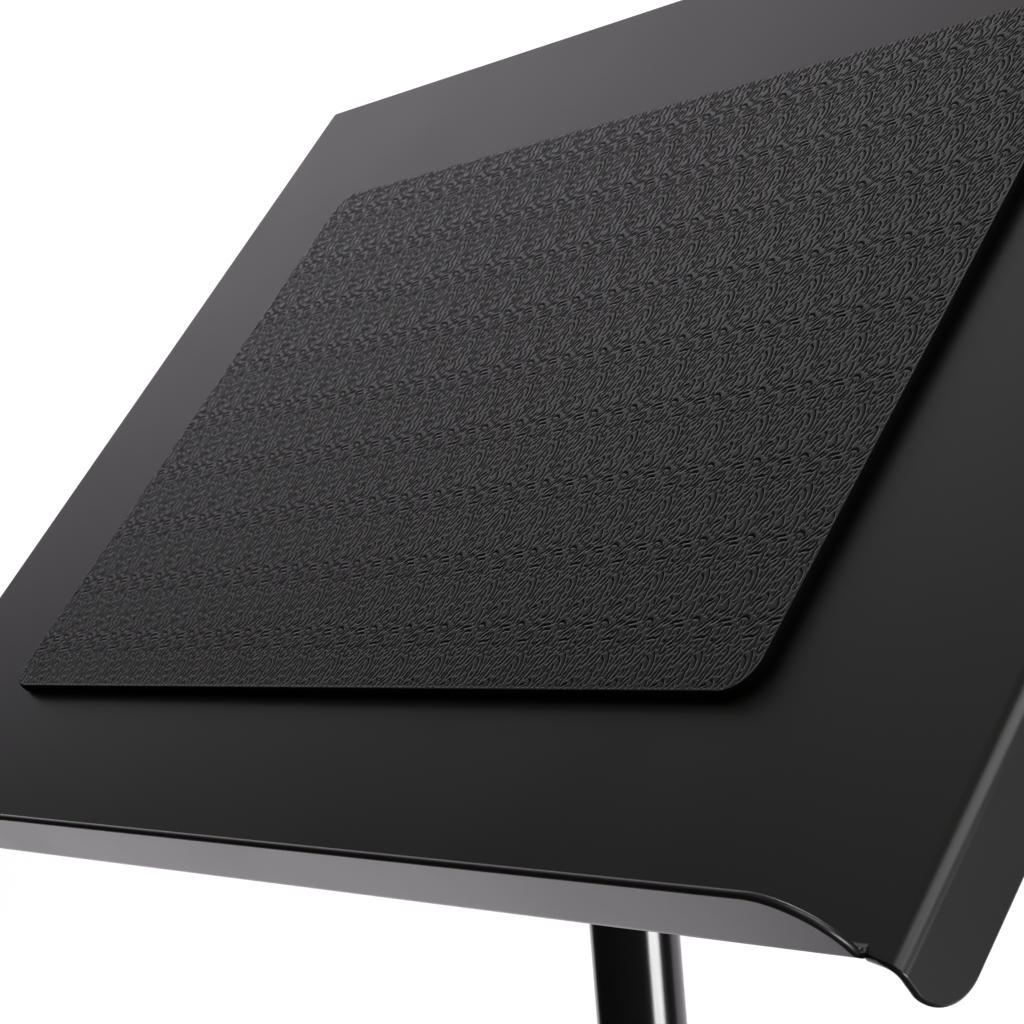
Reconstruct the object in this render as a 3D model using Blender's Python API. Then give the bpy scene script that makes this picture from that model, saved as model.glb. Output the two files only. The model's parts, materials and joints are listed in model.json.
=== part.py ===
"""Orchestra music stand: a folded sheet-metal desk on a telescopic column with a folding tripod.

Units are metres, +Z is up, +X is the player's right, and the desk faces -Y.
The floor is z = 0, and the origin is under the middle of the whole stand.
"""

import math

import bmesh
import bpy
from mathutils import Matrix, Vector

GAP = 0.0003                       # clearance between two touching pieces

# Desk: one sheet, its sides bent backward and its lower edge bent forward
DESK_WIDTH = 0.500
DESK_HEIGHT = 0.3434
DESK_TILT = math.radians(48.2)     # desk face from the horizontal
SHEET = 0.002
BEND_INNER = 0.002
BEND_STEPS = 6
FLANGE_REACH = 0.0206              # side flanges, from the desk's front face
LEDGE_REACH = 0.0214               # ledge, from the desk's back face
LEDGE_HALF = 0.2410                # half the ledge's length
RELIEF = 0.0006                    # slot beside the ledge
RELIEF_DEPTH = 0.001               # how far the slot runs past the bend
SLOT_FOOT = -0.0008                # the sheet's lower edge slants from here, beside the slot,
FLANGE_FOOT = 0.0017               # to here, below the ledge, at the flange's rounded corner
FLANGE_RADIUS = 0.012
LEDGE_RADIUS = 0.0165

# Rubber mat on the desk's face
MAT_WIDTH = 0.358
MAT_HEIGHT = 0.2235
MAT_THICKNESS = 0.0032
MAT_X = -0.003                     # the mat is glued on slightly left of and below the middle
MAT_Y = -0.0016
MAT_RADIUS = 0.010

# Tilt hinge, behind the middle of the desk
TILT_DEPTH = 0.042                 # hinge axis to the desk's front face
BRACKET_SHEET = 0.0025
BRACKET_HALF = 0.030
BRACKET_REACH_X = 0.060
CHEEK_RADIUS = 0.013
CHEEK_BASE_HALF = 0.026
HEAD_HALF = 0.0166
HEAD_RADIUS = 0.0160
NECK_RADIUS = 0.0165
NECK_BOTTOM = -0.058
SOCKET_TOP = -0.0197
DISC = 0.0016
DISC_RADIUS = 0.012
STUD_X = 0.047
STUD_Y = 0.020
STUD_RADIUS = 0.0025
STUD_PROUD = 0.003                 # stud's end beyond its nut
NUT_RADIUS = 0.0045
NUT_HEIGHT = 0.004
BOLT_RADIUS = 0.004
BOLT_REACH = 0.020                 # bolt's end beyond the right cheek
BOLT_HEAD_RADIUS = 0.0075
BOLT_HEAD_HEIGHT = 0.0042
HEAD_SCREW_Z = -0.040
SCREW_HEAD_RADIUS = 0.0045
SCREW_HEAD_HEIGHT = 0.0024
INSERT_RADIUS = 0.0071
INSERT_LENGTH = 0.016

# Column
UPPER_RADIUS = 0.0135
UPPER_WALL = 0.0015
UPPER_BOTTOM = 0.330
TILT_Z = 0.950
LOWER_RADIUS = 0.0175
LOWER_WALL = 0.0015
LOWER_BOTTOM = 0.030
LOWER_TOP = 0.600
CLAMP_BOTTOM = 0.556
CLAMP_TOP = 0.640
CLAMP_RADIUS = 0.024
CLAMP_SCREW_Z = 0.574
SLEEVE_RADIUS = 0.0163
SLEEVE_RIM_RADIUS = 0.020
SLEEVE_RIM = 0.0025
SLEEVE_SPLIT = 10.0                # degrees of the sleeve left open
BUSH_HEIGHT = 0.045
BUSH_LIP = 0.003
PLUG_HEIGHT = 0.006
PLUG_DEPTH = 0.015
BOSS_RADIUS = 0.011
BOSS_LENGTH = 0.010
KNOB_RADIUS = 0.021
KNOB_HEIGHT = 0.026
KNOB_Z = 0.620

# Tripod
LEG_AZIMUTHS = (90, 210, 330)      # degrees: one leg back, two to the front
LEG_SLOPE = math.radians(33)       # below the horizontal
LEG_REACH = 0.300                  # column axis to the leg's end
LEG_END_Z = 0.0045                 # height of the leg's axis at its end
LEG_RADIUS = 0.008
LEG_WALL = 0.0012
LEG_START = 0.0203                 # leg pin to the start of the tube
TONGUE_END = 0.020
SPIGOT_START = 0.015
SPIGOT_END = 0.045
CAP = 0.008                        # rubber beyond the tube's end
LEG_PIN_R = 0.033                  # column axis to the leg's pin
FOOT_RADIUS = 0.011
FOOT_LENGTH = 0.034
BRACE_ON_LEG = 0.100               # leg pin to brace rivet
BRACE_LENGTH = 0.150
BRACE_PIN_R = 0.036
BRACE_THICK = 0.003
BRACE_HALF = 0.008
PIN_RADIUS = 0.003
RIVET_RADIUS = 0.0025
HUB_RADIUS = 0.024
HUB_HALF = 0.015
COLLAR_HALF = 0.013
TONGUE_HALF = 0.005
LUG_THICK = 0.0029
COLLAR_KNOB_AZIMUTH = 30           # degrees, between two legs
COLLAR_KNOB_RADIUS = 0.017
COLLAR_KNOB_HEIGHT = 0.022
COLLAR_BOSS_RADIUS = 0.009
COLLAR_BOSS_LENGTH = 0.008
STOP_RING_RADIUS = 0.0205
STOP_RING_HEIGHT = 0.004
PIVOT_SLOT = 0.0050                # slot in the leg, along it, for the brace rivet
PIVOT_SLOT_DROP = 0.0006

LEG_LENGTH = (LEG_REACH - LEG_PIN_R) / math.cos(LEG_SLOPE)
HUB_Z = LEG_END_Z + LEG_LENGTH * math.sin(LEG_SLOPE)
RIVET_R = LEG_PIN_R + BRACE_ON_LEG * math.cos(LEG_SLOPE)
RIVET_Z = HUB_Z - BRACE_ON_LEG * math.sin(LEG_SLOPE)
BRACE_SLOPE = math.acos((RIVET_R - BRACE_PIN_R) / BRACE_LENGTH)
COLLAR_Z = RIVET_Z + BRACE_LENGTH * math.sin(BRACE_SLOPE)
BRACE_INNER = LEG_RADIUS + 2 * GAP

# The stand's front is the ledge and its back is the rear foot: the origin is midway between them.
FRONT_REACH = (
    (TILT_DEPTH + LEDGE_REACH - SHEET) * math.sin(DESK_TILT)
    + DESK_HEIGHT / 2 * math.cos(DESK_TILT)
)
REAR_REACH = LEG_REACH + FOOT_RADIUS * math.sin(LEG_SLOPE)
COLUMN_Y = (FRONT_REACH - REAR_REACH) / 2
CHEEK_FACE = HEAD_HALF + DISC + 3 * GAP + BRACKET_SHEET

ROUND = 32                         # segments of a tube or turned piece
MEDIUM = 24                        # segments of a leg or disc
SMALL = 16                         # segments of a pin or hole
CUT_HALF = 0.03                    # half the length of a drill that goes right through
CUT_START = 0.012                  # a radial drill starts inside the tubes
CUT_END = 0.05                     # and ends outside them


# Materials

def make_material(name, color, roughness, metallic):
    material = bpy.data.materials.new(name)
    material.use_nodes = True
    shader = material.node_tree.nodes["Principled BSDF"]
    shader.inputs["Base Color"].default_value = (*color, 1.0)
    shader.inputs["Roughness"].default_value = roughness
    shader.inputs["Metallic"].default_value = metallic
    return material


def make_materials():
    return {
        "powder_coat": make_material("powder_coat", (0.022, 0.021, 0.021), 0.42, 0.0),
        "gloss_black": make_material("gloss_black", (0.006, 0.006, 0.006), 0.10, 0.0),
        "rubber": make_material("rubber", (0.012, 0.012, 0.012), 0.75, 0.0),
        "plastic": make_material("plastic", (0.016, 0.016, 0.017), 0.50, 0.0),
        "nylon": make_material("nylon", (0.60, 0.59, 0.55), 0.45, 0.0),
        "steel": make_material("steel", (0.55, 0.55, 0.56), 0.28, 1.0),
    }


# Mesh tools

def arc(cx, cy, radius, start, end, steps):
    """Points on an arc, angles in degrees."""
    points = []
    for i in range(steps + 1):
        angle = math.radians(start + (end - start) * i / steps)
        points.append((cx + radius * math.cos(angle), cy + radius * math.sin(angle)))
    return points


def prism(outline, low, high):
    """A flat outline in XY, given the thickness from low to high along Z."""
    bm = bmesh.new()
    ring = [bm.verts.new((x, y, low)) for x, y in outline]
    face = bm.faces.new(ring)
    raised = bmesh.ops.extrude_face_region(bm, geom=[face])
    top = [item for item in raised["geom"] if isinstance(item, bmesh.types.BMVert)]
    bmesh.ops.translate(bm, verts=top, vec=(0, 0, high - low))
    bmesh.ops.recalc_face_normals(bm, faces=bm.faces)
    return bm


def turned(profile, segments=ROUND, closed=True, sweep=360.0, lobes=0, lobe_depth=0.0, lobe_from=0.0):
    """A profile of (radius, z) points turned about Z.

    A closed profile makes a ring. An open one starts and ends on the axis and makes a solid.
    A sweep under 360 degrees leaves a split. Lobes wave the points beyond the radius lobe_from.
    """
    bm = bmesh.new()
    whole = sweep >= 360.0
    count = segments if whole else segments + 1
    columns = []
    for i in range(count):
        angle = math.radians(sweep * i / segments + (360.0 - sweep) / 2)
        wave = 1.0 + lobe_depth * math.cos(lobes * angle)
        column = []
        for radius, z in profile:
            if radius == 0.0 and columns:
                column.append(columns[0][len(column)])
                continue
            reach = radius * wave if lobes and radius > lobe_from else radius
            column.append(bm.verts.new((reach * math.cos(angle), reach * math.sin(angle), z)))
        columns.append(column)
    steps = len(profile) if closed else len(profile) - 1
    for i in range(segments):
        left = columns[i]
        right = columns[(i + 1) % count]
        for k in range(steps):
            corners = [left[k], right[k], right[(k + 1) % len(profile)], left[(k + 1) % len(profile)]]
            bm.faces.new(list(dict.fromkeys(corners)))
    if not whole:
        bm.faces.new(columns[0])
        bm.faces.new(list(reversed(columns[-1])))
    bmesh.ops.recalc_face_normals(bm, faces=bm.faces)
    return bm


def rod(radius, low, high, segments=ROUND):
    """A solid round bar along Z."""
    return turned([(0.0, low), (radius, low), (radius, high), (0.0, high)], segments, closed=False)


def pipe(outer, inner, low, high, segments=ROUND):
    """A round tube along Z, open at both ends."""
    return turned([(outer, low), (outer, high), (inner, high), (inner, low)], segments)


def box(low, high):
    """A rectangular block between two corners."""
    outline = [(low[0], low[1]), (high[0], low[1]), (high[0], high[1]), (low[0], high[1])]
    return prism(outline, low[2], high[2])


def moved(bm, matrix):
    bmesh.ops.transform(bm, matrix=matrix, verts=bm.verts)
    return bm


def along_x(bm):
    """Turns a piece made along Z so that it runs along X."""
    return moved(bm, Matrix.Rotation(math.pi / 2, 4, "Y"))


def along_y(bm):
    """Turns a piece made along Z so that it runs along Y, and its own Y runs along -Z."""
    return moved(bm, Matrix.Rotation(-math.pi / 2, 4, "X"))


def upright(bm):
    """Stands a prism up: its outline's XY becomes XZ, and its thickness runs along -Y."""
    return moved(bm, Matrix.Rotation(math.pi / 2, 4, "X"))


def fold(bm, axis, start, side, back, thickness, mid_z, inside):
    """Bends the sheet beyond a line by a right angle, as a press brake does.

    The line is at start on the given axis, and the sheet beyond it, towards side, is bent
    backward (-Z) or forward (+Z). Only the points for which inside(point) is true are bent.
    """
    middle = BEND_INNER + thickness / 2
    length = middle * math.pi / 2
    for k in range(BEND_STEPS + 1):
        place = [0.0, 0.0, 0.0]
        normal = [0.0, 0.0, 0.0]
        place[axis] = start + side * length * k / BEND_STEPS
        normal[axis] = 1.0
        everything = bm.verts[:] + bm.edges[:] + bm.faces[:]
        bmesh.ops.bisect_plane(bm, geom=everything, dist=1e-6, plane_co=place, plane_no=normal)
    toward = -1.0 if back else 1.0
    for vert in bm.verts:
        past = side * (vert.co[axis] - start)
        if past <= 1e-6 or not inside(vert.co):
            continue
        angle = min(past / middle, math.pi / 2)
        radius = middle - toward * (vert.co.z - mid_z)
        straight = max(0.0, past - length)
        vert.co[axis] = start + side * radius * math.sin(angle)
        vert.co.z = mid_z + toward * (middle - radius * math.cos(angle) + straight)


def blank_length(outer, reach, thickness):
    """Where the flat blank ends, for a tab bent at the outer line that then reaches this far."""
    bend_outer = BEND_INNER + thickness
    middle = BEND_INNER + thickness / 2
    return outer - bend_outer + middle * math.pi / 2 + reach - bend_outer


def combine(bm, others, operation):
    """Unites or cuts one solid with others, by an exact Boolean."""
    base = bpy.data.objects.new("work", bpy.data.meshes.new("work"))
    bm.to_mesh(base.data)
    bm.free()
    bpy.context.scene.collection.objects.link(base)
    tools = []
    for other in others:
        tool = bpy.data.objects.new("tool", bpy.data.meshes.new("tool"))
        other.to_mesh(tool.data)
        other.free()
        bpy.context.scene.collection.objects.link(tool)
        modifier = base.modifiers.new("combine", "BOOLEAN")
        modifier.operation = operation
        modifier.object = tool
        tools.append(tool)
    depsgraph = bpy.context.evaluated_depsgraph_get()
    result = bmesh.new()
    result.from_mesh(base.evaluated_get(depsgraph).to_mesh())
    bmesh.ops.remove_doubles(result, verts=result.verts, dist=1e-6)
    for item in tools + [base]:
        mesh = item.data
        bpy.data.objects.remove(item)
        bpy.data.meshes.remove(mesh)
    return result


def unite(bm, *others):
    return combine(bm, others, "UNION")


def cut(bm, *others):
    return combine(bm, others, "DIFFERENCE")


# Scene tools

def add_mesh(name, bm):
    mesh = bpy.data.meshes.new(name)
    bm.to_mesh(mesh)
    bm.free()
    mesh.shade_smooth()
    mesh.set_sharp_from_angle(angle=math.radians(30))
    return mesh


def add_object(name, source, material, parent):
    """Adds a piece from a bmesh, or from a mesh that it shares, under the frame that carries it."""
    mesh = add_mesh(name, source) if isinstance(source, bmesh.types.BMesh) else source
    if not mesh.materials:
        mesh.materials.append(material)
    item = bpy.data.objects.new(name, mesh)
    bpy.context.scene.collection.objects.link(item)
    item.parent = parent
    return item


def add_frame(name, location, rotation=(0.0, 0.0, 0.0), parent=None):
    """An empty on a joint's axis, or at the place that a group of fixed pieces is drawn from."""
    frame = bpy.data.objects.new(name, None)
    frame.location = location
    frame.rotation_euler = rotation
    frame.parent = parent
    bpy.context.scene.collection.objects.link(frame)
    return frame


# Shapes that several pieces use

def tapered_outline(length, base_half, end_radius, steps=12):
    """A lug in XY: base_half wide at x = 0, with a round end about (length, 0)."""
    reach = math.hypot(length, base_half)
    lean = math.degrees(math.acos(end_radius / reach) - math.atan2(length, base_half))
    end = arc(length, 0.0, end_radius, -(90 - lean), 90 - lean, steps)
    return [(0.0, -base_half)] + end + [(0.0, base_half)]


def rivet(radius, half, head_radius, head_height):
    """A rivet along Z with a domed head at each end, half being where the heads begin."""
    end = half + head_height
    waist = head_radius * 0.7
    profile = [(0.0, -end), (waist, -end), (head_radius, -half), (radius, -half)]
    profile += [(radius, half), (head_radius, half), (waist, end), (0.0, end)]
    return turned(profile, SMALL, closed=False)


def star_knob(radius, low, high, bore_radius, bore_end):
    """A five-lobed knob along Z, with a blind bore from its low face."""
    edge = 0.0025
    neck = radius * 0.55
    skirt = low + (high - low) * 0.42
    profile = [(0.0, low), (neck, low), (neck, skirt - edge), (radius - edge, skirt)]
    profile += [(radius, skirt + edge), (radius, high - edge), (radius - edge, high)]
    profile += [(0.0, high + 0.001)]
    knob = turned(profile, 40, closed=False, lobes=5, lobe_depth=0.10, lobe_from=neck + edge)
    return cut(knob, rod(bore_radius, low - edge, bore_end, SMALL))


def radial(bm, azimuth, height=0.0):
    """Points a piece made along Z outward from the column, at an azimuth in degrees."""
    turn = Matrix.Rotation(math.radians(azimuth), 4, "Z")
    return moved(along_x(bm), Matrix.Translation((0.0, 0.0, height)) @ turn)


# Desk

def desk_panel():
    half_w = DESK_WIDTH / 2
    half_h = DESK_HEIGHT / 2
    bend_outer = BEND_INNER + SHEET
    side_end = blank_length(half_w, FLANGE_REACH, SHEET)
    ledge_end = blank_length(half_h, LEDGE_REACH, SHEET)
    slot = half_h - bend_outer - RELIEF_DEPTH
    foot = half_h + FLANGE_FOOT
    ledge_r = LEDGE_RADIUS
    side_r = FLANGE_RADIUS
    right = arc(LEDGE_HALF - ledge_r, -ledge_end + ledge_r, ledge_r, -90, 0, 9)
    right += [(LEDGE_HALF, -slot), (LEDGE_HALF + RELIEF, -slot), (LEDGE_HALF + RELIEF, -half_h - SLOT_FOOT)]
    right += arc(side_end - side_r, -foot + side_r, side_r, -90, 0, 8)
    right += arc(side_end - side_r, half_h - side_r, side_r, 0, 90, 8)
    left = [(-x, y) for x, y in reversed(right)]
    bm = prism(right + left, -SHEET, 0.0)
    mid_z = -SHEET / 2
    for side in (1, -1):
        line = side * (half_w - bend_outer)
        fold(bm, 0, line, side, True, SHEET, mid_z, lambda point: True)
    fold(bm, 1, bend_outer - half_h, -1, False, SHEET, mid_z,
         lambda point: abs(point.x) < LEDGE_HALF + RELIEF / 2)
    bmesh.ops.recalc_face_normals(bm, faces=bm.faces)
    return moved(bm, Matrix.Translation((0.0, 0.0, TILT_DEPTH)))


def rubber_mat():
    x = MAT_WIDTH / 2 - MAT_RADIUS
    y = MAT_HEIGHT / 2 - MAT_RADIUS
    outline = arc(x, y, MAT_RADIUS, 0, 90, 8) + arc(-x, y, MAT_RADIUS, 90, 180, 8)
    outline += arc(-x, -y, MAT_RADIUS, 180, 270, 8) + arc(x, -y, MAT_RADIUS, 270, 360, 8)
    mat = prism(outline, TILT_DEPTH + GAP, TILT_DEPTH + MAT_THICKNESS)
    return moved(mat, Matrix.Translation((MAT_X, MAT_Y, 0.0)))


def tilt_bracket(side):
    """An angle bracket: a wing on the desk's back and a round-ended cheek beside the tilt head."""
    front = TILT_DEPTH - SHEET - GAP
    inner_face = HEAD_HALF + DISC + 2 * GAP
    bend_outer = BEND_INNER + BRACKET_SHEET
    line = inner_face + bend_outer
    middle = BEND_INNER + BRACKET_SHEET / 2
    bend_end = line - middle * math.pi / 2
    cheek = tapered_outline(front - bend_outer, CHEEK_BASE_HALF, CHEEK_RADIUS)
    outline = [(bend_end - x, y) for x, y in cheek]
    outline += [(line, CHEEK_BASE_HALF), (line + 0.001, BRACKET_HALF), (BRACKET_REACH_X, BRACKET_HALF)]
    outline += [(BRACKET_REACH_X, -BRACKET_HALF), (line + 0.001, -BRACKET_HALF), (line, -CHEEK_BASE_HALF)]
    bm = prism([(side * x, y) for x, y in outline], front - BRACKET_SHEET, front)
    fold(bm, 0, side * line, -side, True, BRACKET_SHEET, front - BRACKET_SHEET / 2, lambda point: True)
    bmesh.ops.recalc_face_normals(bm, faces=bm.faces)
    reach = BRACKET_REACH_X
    holes = [along_x(rod(BOLT_RADIUS + GAP, -reach, reach, SMALL))]
    for y in (STUD_Y, -STUD_Y):
        hole = rod(STUD_RADIUS + GAP, 0.0, TILT_DEPTH, SMALL)
        holes.append(moved(hole, Matrix.Translation((side * STUD_X, y, 0.0))))
    return cut(bm, *holes)


def tilt_bolt():
    """A domed bolt along X, its head outside the left cheek and its end inside the knob."""
    end = CHEEK_FACE + BOLT_REACH
    dome = BOLT_HEAD_RADIUS * 0.65
    profile = [(0.0, -CHEEK_FACE - BOLT_HEAD_HEIGHT), (dome, -CHEEK_FACE - BOLT_HEAD_HEIGHT * 0.8)]
    profile += [(BOLT_HEAD_RADIUS, -CHEEK_FACE), (BOLT_RADIUS, -CHEEK_FACE), (BOLT_RADIUS, end), (0.0, end)]
    return along_x(turned(profile, MEDIUM, closed=False))


def tilt_head():
    """The fitting on the tube's end: a barrel across it for the bolt, and a socket for the tube."""
    barrel = along_x(rod(HEAD_RADIUS, -HEAD_HALF, HEAD_HALF))
    shoulder = NECK_BOTTOM + 0.002
    neck = turned(
        [(0.0, NECK_BOTTOM), (NECK_RADIUS - 0.001, NECK_BOTTOM), (NECK_RADIUS, shoulder),
         (NECK_RADIUS, -0.006), (NECK_RADIUS - 0.004, 0.0), (0.0, 0.0)],
        closed=False,
    )
    socket = rod(UPPER_RADIUS + GAP, 2 * NECK_BOTTOM, SOCKET_TOP)
    bolt_hole = along_x(rod(BOLT_RADIUS + GAP, -CUT_HALF, CUT_HALF, SMALL))
    screw_hole = radial(rod(STUD_RADIUS + GAP, CUT_START, CUT_END, SMALL), 90, HEAD_SCREW_Z)
    return cut(unite(barrel, neck), socket, bolt_hole, screw_hole)


def pan_screw(start, seat):
    """A pan-head screw along Z, its shank from start to its seat and its head beyond."""
    top = seat + SCREW_HEAD_HEIGHT
    profile = [(0.0, start), (STUD_RADIUS, start), (STUD_RADIUS, seat), (SCREW_HEAD_RADIUS, seat)]
    profile += [(SCREW_HEAD_RADIUS, (seat + top) / 2), (SCREW_HEAD_RADIUS * 0.7, top), (0.0, top)]
    return turned(profile, SMALL, closed=False)


# Column

def lower_tube():
    tube = pipe(LOWER_RADIUS, LOWER_RADIUS - LOWER_WALL, LOWER_BOTTOM, LOWER_TOP)
    hole = radial(rod(STUD_RADIUS + GAP, CUT_START, CUT_END, SMALL), 90, CLAMP_SCREW_Z)
    return cut(tube, hole)


def tube_end_plug():
    inner = LOWER_RADIUS - LOWER_WALL - GAP
    low = LOWER_BOTTOM - PLUG_HEIGHT
    profile = [(0.0, low), (LOWER_RADIUS - 0.002, low), (LOWER_RADIUS, low + 0.002)]
    profile += [(LOWER_RADIUS, LOWER_BOTTOM - GAP), (inner, LOWER_BOTTOM - GAP)]
    profile += [(inner, LOWER_BOTTOM + PLUG_DEPTH), (0.0, LOWER_BOTTOM + PLUG_DEPTH)]
    return turned(profile, closed=False)


def clamp_housing():
    bore = LOWER_RADIUS + GAP
    sleeve_bore = SLEEVE_RADIUS
    edge = 0.003
    profile = [(bore, CLAMP_BOTTOM), (CLAMP_RADIUS - edge, CLAMP_BOTTOM)]
    profile += [(CLAMP_RADIUS, CLAMP_BOTTOM + 2 * edge), (CLAMP_RADIUS, CLAMP_TOP - edge)]
    profile += [(CLAMP_RADIUS - edge, CLAMP_TOP), (sleeve_bore, CLAMP_TOP)]
    profile += [(sleeve_bore, LOWER_TOP + GAP), (bore, LOWER_TOP + GAP)]
    body = turned(profile)
    boss = radial(rod(BOSS_RADIUS, LOWER_RADIUS + edge / 2, CLAMP_RADIUS + BOSS_LENGTH), 0, KNOB_Z)
    stud_hole = radial(rod(BOLT_RADIUS + GAP, CUT_START, CUT_END, SMALL), 0, KNOB_Z)
    screw_hole = radial(rod(STUD_RADIUS + GAP, CUT_START, CUT_END, SMALL), 90, CLAMP_SCREW_Z)
    return cut(unite(body, boss), stud_hole, screw_hole)


def clamp_sleeve():
    """The split nylon sleeve that the clamp squeezes on the upper tube, with a rim on top."""
    inner = UPPER_RADIUS + GAP
    outer = SLEEVE_RADIUS - GAP
    low = LOWER_TOP + 2 * GAP
    seat = CLAMP_TOP + GAP
    top = seat + SLEEVE_RIM
    profile = [(inner, low), (outer, low), (outer, seat), (SLEEVE_RIM_RADIUS, seat)]
    profile += [(SLEEVE_RIM_RADIUS - 0.001, top), (inner, top)]
    return turned(profile, ROUND, sweep=360.0 - SLEEVE_SPLIT)


def guide_bush():
    """The nylon ring at the foot of the upper tube, with a lip under the tube's end."""
    outer = LOWER_RADIUS - LOWER_WALL - GAP
    inner = UPPER_RADIUS + GAP
    lip = UPPER_RADIUS - UPPER_WALL - 0.002
    under = UPPER_BOTTOM - GAP
    profile = [(outer, under - BUSH_LIP), (outer, under + BUSH_HEIGHT), (inner, under + BUSH_HEIGHT)]
    profile += [(inner, under), (lip, under), (lip, under - BUSH_LIP)]
    return turned(profile)


# Tripod

def ring_with_lugs(half_height, lugs):
    """A ring round the lower tube with lugs that stand out towards the three legs."""
    edge = 0.0015
    bore = LOWER_RADIUS + GAP
    profile = [(bore, -half_height), (HUB_RADIUS - edge, -half_height), (HUB_RADIUS, edge - half_height)]
    profile += [(HUB_RADIUS, half_height - edge), (HUB_RADIUS - edge, half_height), (bore, half_height)]
    solids = []
    for azimuth in LEG_AZIMUTHS:
        turn = Matrix.Rotation(math.radians(azimuth), 4, "Z")
        for lug in lugs():
            solids.append(moved(lug, turn))
    return unite(turned(profile), *solids)


def lug(pin_r, base_half, low, high):
    """One lug, from inside the ring out to a round end about the pin, between two widths."""
    root = LOWER_RADIUS + 0.003
    outline = tapered_outline(pin_r - root, base_half, BRACE_HALF)
    return upright(prism([(x + root, y) for x, y in outline], -high, -low))


def pin_holes(pin_r):
    holes = []
    for azimuth in LEG_AZIMUTHS:
        hole = along_y(rod(PIN_RADIUS + GAP, -CUT_HALF / 2, CUT_HALF / 2, SMALL))
        turn = Matrix.Rotation(math.radians(azimuth), 4, "Z")
        holes.append(moved(hole, turn @ Matrix.Translation((pin_r, 0.0, 0.0))))
    return holes


def leg_hub():
    inner = TONGUE_HALF + GAP
    outer = inner + LUG_THICK

    def lugs():
        return [lug(LEG_PIN_R, HUB_HALF - 0.003, inner, outer),
                lug(LEG_PIN_R, HUB_HALF - 0.003, -outer, -inner)]

    hub = ring_with_lugs(HUB_HALF, lugs)
    screw = radial(rod(PIN_RADIUS + GAP, CUT_START, CUT_END, SMALL), COLLAR_KNOB_AZIMUTH)
    return cut(hub, *pin_holes(LEG_PIN_R), screw)


def brace_collar():
    def lugs():
        return [lug(BRACE_PIN_R, COLLAR_HALF - 0.002, -LEG_RADIUS, LEG_RADIUS)]

    root = LOWER_RADIUS + 0.0025
    boss = radial(rod(COLLAR_BOSS_RADIUS, root, HUB_RADIUS + COLLAR_BOSS_LENGTH), COLLAR_KNOB_AZIMUTH)
    collar = unite(ring_with_lugs(COLLAR_HALF, lugs), boss)
    stud = radial(rod(BOLT_RADIUS + GAP, CUT_START, CUT_END, SMALL), COLLAR_KNOB_AZIMUTH)
    return cut(collar, *pin_holes(BRACE_PIN_R), stud)


def leg_knuckle():
    """The fitting in the leg's upper end: a round-ended tongue on the pin, and a spigot."""
    radius = LEG_RADIUS - 0.0005
    outline = arc(0.0, 0.0, radius, 90, 270, 12) + [(TONGUE_END, -radius), (TONGUE_END, radius)]
    tongue = upright(prism(outline, -TONGUE_HALF, TONGUE_HALF))
    spigot = along_x(rod(LEG_RADIUS - LEG_WALL - GAP, SPIGOT_START, SPIGOT_END, MEDIUM))
    return cut(unite(tongue, spigot), along_y(rod(PIN_RADIUS + GAP, -CUT_HALF, CUT_HALF, SMALL)))


def leg_tube():
    """The leg, with a slot through both walls for the brace rivet."""
    tube = along_x(pipe(LEG_RADIUS, LEG_RADIUS - LEG_WALL, LEG_START, LEG_LENGTH - CAP, MEDIUM))
    radius = RIVET_RADIUS + 2 * GAP + PIVOT_SLOT_DROP
    near = BRACE_ON_LEG - PIVOT_SLOT
    outline = arc(near, 0.0, radius, 90, 270, 8) + arc(BRACE_ON_LEG, 0.0, radius, -90, 90, 8)
    slot = upright(prism(outline, -CUT_HALF, CUT_HALF))
    return cut(tube, moved(slot, Matrix.Translation((0.0, 0.0, -PIVOT_SLOT_DROP))))


def leg_foot():
    """A rubber cap on the leg's end, cut flat where it stands on the floor."""
    edge = 0.0012
    low = LEG_LENGTH - FOOT_LENGTH
    profile = [(0.0, low), (FOOT_RADIUS - edge, low), (FOOT_RADIUS, low + 2 * edge)]
    profile += [(FOOT_RADIUS, LEG_LENGTH), (0.0, LEG_LENGTH)]
    cap = along_x(turned(profile, MEDIUM, closed=False))
    bore = along_x(rod(LEG_RADIUS + GAP, low - edge, LEG_LENGTH - CAP + GAP, MEDIUM))
    below = box((-FOOT_LENGTH, -FOOT_LENGTH, -FOOT_LENGTH), (FOOT_LENGTH, FOOT_LENGTH, 0.0))
    end = Matrix.Translation((LEG_LENGTH, 0.0, 0.0)) @ Matrix.Rotation(-LEG_SLOPE, 4, "Y")
    floor = moved(below, end @ Matrix.Translation((0.0, 0.0, -LEG_END_Z)))
    return cut(cap, bore, floor)


def brace_bar(side):
    """A flat bar along X beside the leg, with a round hole at each end."""
    ends = arc(0.0, 0.0, BRACE_HALF, 90, 270, 10)
    ends += arc(BRACE_LENGTH, 0.0, BRACE_HALF, -90, 90, 10)
    near = side * BRACE_INNER
    far = side * (BRACE_INNER + BRACE_THICK)
    bar = upright(prism(ends, -max(near, far), -min(near, far)))
    pin = along_y(rod(PIN_RADIUS + GAP, -CUT_HALF, CUT_HALF, SMALL))
    rivet_hole = along_y(rod(RIVET_RADIUS + GAP, -CUT_HALF, CUT_HALF, SMALL))
    return cut(bar, pin, moved(rivet_hole, Matrix.Translation((BRACE_LENGTH, 0.0, 0.0))))


# The stand

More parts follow.
